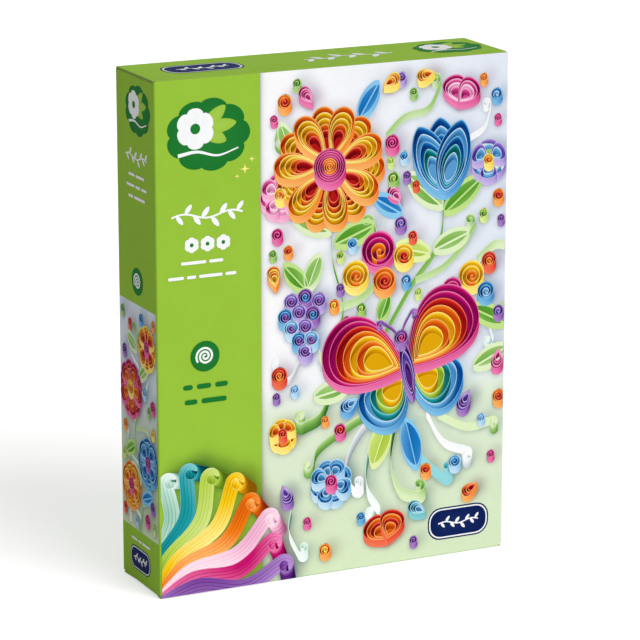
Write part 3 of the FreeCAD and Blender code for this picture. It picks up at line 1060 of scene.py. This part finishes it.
def ground(drawing, us, vs, colour):
    """A grid of ground print, coloured by a function of (u, v) and by the shadows on it."""
    u, v = (grid.ravel() for grid in np.meshgrid(us, vs))
    points = np.column_stack([u, v, np.full(len(u), INK_LIFT)])
    drawing.add(points, colour(u, v) * drawing.shade.at(u, v), grid_faces(len(vs), len(us)))


def band_colour(u, v):
    return np.tile(INKS["band"][1], (len(u), 1))


def front_ground(shade):
    """The picture's field, with its way round two creases, and the shaded foot of the band."""
    drawing = Drawing(shade=shade)
    crease_end = CREASE_RADIUS * math.pi / 2
    flat_u = WIDTH - CREASE_RADIUS
    fold_end = BAND_EDGE + 5
    rows = spaced((CREASE_RADIUS, FRONT_TOP, GROUND_STEP))
    foot_rows = spaced((CREASE_RADIUS - crease_end, CREASE_RADIUS, CREASE_STEP))
    band = spaced((CREASE_RADIUS, BAND_EDGE, BAND_STEP))
    field = spaced((BAND_EDGE, fold_end, CREASE_STEP), (fold_end, flat_u, GROUND_STEP))
    foot_field = field[field <= flat_u - CREASE_RELIEF]
    wrap = spaced((flat_u, flat_u + crease_end, CREASE_STEP))
    wrap_rows = spaced((BOARD + CREASE_RADIUS, SIDE_CREASE_TOP, GROUND_STEP))
    ground(drawing, band, rows[rows < BAND_SHADE_TOP], band_colour)
    ground(drawing, field, rows, picture_colour)
    ground(drawing, foot_field, foot_rows, picture_colour)
    ground(drawing, wrap, wrap_rows, picture_colour)
    lip = wrap[wrap < flat_u + crease_end / 2]
    ground(drawing, lip, spaced((SIDE_CREASE_TOP, FRONT_TOP, LIP_STEP)), picture_colour)
    return drawing


front_shade = Shade(WIDTH, HEIGHT)
front_motifs = {**draw_picture(front_shade), **draw_ribbons(front_shade)}
front_shade.settle()
everywhere = {"left": 0, "foot": -2, "right": WIDTH + 2, "head": HEIGHT}
printed("front_ground_print", front_ground(front_shade), "round_front", **everywhere)
for name, drawing in front_motifs.items():
    printed(name, drawing, "front")
printed("band_print", draw_band(), "front")

side_shade = Shade(DEPTH, SIDE_HEAD)
side_motifs = draw_side_picture(side_shade)
side_shade.settle()
side_limits = {"right": DEPTH - CREASE_RADIUS, "foot": SIDE_FOOT, "head": SIDE_HEAD}
printed("side_ground_print", side_ground(side_shade), "side", **side_limits)
for name, drawing in side_motifs.items():
    printed(name, drawing, "side", **side_limits)
printed("side_print", draw_side(), "side", right=DEPTH - CREASE_RADIUS)
printed("top_print", draw_top(), "top", right=WIDTH - CREASE_RADIUS)

for name, slot in (("carton", "printed_board"), ("tuck_lid", "lid_board")):
    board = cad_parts[name]
    board.data.materials.clear()
    board.data.materials.append(coated_board(name + "_board", board_colour))

# Stage: a white floor that keeps the shadow, soft light and the camera

WHITE = (1, 1, 1, 1)
FLOOR_COLOUR = (0.86, 0.86, 0.86, 1)
FLOOR_GLOW = 0.55


def stage_floor(reach, drop):
    """A wide white floor, a hair below the carton."""
    mesh = bpy.data.meshes.new("floor")
    corners = [(x * reach, y * reach, -drop) for x, y in ((-1, -1), (1, -1), (1, 1), (-1, 1))]
    mesh.from_pydata(corners, [], [(0, 1, 2, 3)])
    material = bpy.data.materials.new("floor")
    material.use_nodes = True
    tree = material.node_tree
    tree.nodes.clear()
    brightness = computed(tree, "Math", "MULTIPLY", seen_directly(tree), FLOOR_GLOW)
    glow = node(tree, "Emission", {"Strength": brightness})
    diffuse = node(tree, "BsdfDiffuse", {"Color": FLOOR_COLOUR})
    both = node(tree, "AddShader", {0: diffuse.outputs[0], 1: glow.outputs[0]})
    node(tree, "OutputMaterial", {"Surface": both.outputs[0]})
    mesh.materials.append(material)
    in_scene("floor", mesh)


def seen_directly(tree):
    """1 for rays of the camera, of reflections and through glass, and 0 for light on things."""
    path = node(tree, "LightPath")
    total = path.outputs["Is Camera Ray"]
    for name in ("Is Glossy Ray", "Is Transmission Ray"):
        total = computed(tree, "Math", "MAXIMUM", total, path.outputs[name])
    return total


def stage_world(ambient):
    """Even light all round, before a white backdrop."""
    world = bpy.data.worlds.new("studio")
    bpy.context.scene.world = world
    world.use_nodes = True
    tree = world.node_tree
    tree.nodes.clear()
    light = node(tree, "Background", {"Color": WHITE, "Strength": ambient})
    white = node(tree, "Background", {"Color": WHITE})
    sides = {0: seen_directly(tree), 1: light.outputs[0], 2: white.outputs[0]}
    choice = node(tree, "MixShader", sides)
    node(tree, "OutputWorld", {"Surface": choice.outputs[0]})


def stage_sun(direction, strength, softness):
    """A soft lamp: direction points from the carton to the light."""
    sun = bpy.data.lights.new("key", "SUN")
    sun.energy = strength
    sun.angle = math.radians(softness)
    in_scene("key", sun).rotation_euler = Vector(direction).to_track_quat("Z", "Y").to_euler()


def stage_camera(azimuth, elevation, distance, lens, aim_right, aim_up):
    """Looks at the carton's middle from azimuth and elevation, moved aside by the aims."""
    turn, lift = math.radians(azimuth), math.radians(elevation)
    back = Vector((math.sin(turn) * math.cos(lift), -math.cos(turn) * math.cos(lift), math.sin(lift)))
    right = Vector((math.cos(turn), math.sin(turn), 0))
    up = back.cross(right)
    aim = Vector((0, 0, HEIGHT / 2 * MM)) + right * aim_right * MM + up * aim_up * MM
    data = bpy.data.cameras.new("camera")
    data.lens = lens
    data.clip_start = 0.01
    camera = in_scene("camera", data)
    axes = Matrix((right, up, back)).transposed()
    camera.matrix_world = Matrix.Translation(aim + back * distance * MM) @ axes.to_4x4()
    bpy.context.scene.camera = camera


stage_floor(reach=6.0, drop=0.2 * MM)
stage_world(ambient=0.31)
stage_sun(direction=(0.25, -0.545, 0.39), strength=2.2, softness=45)
stage_camera(azimuth=-25.78, elevation=14.47, distance=1944.8, lens=182.0, aim_right=3.2, aim_up=-3.9)
bpy.context.scene.view_settings.view_transform = "Standard"
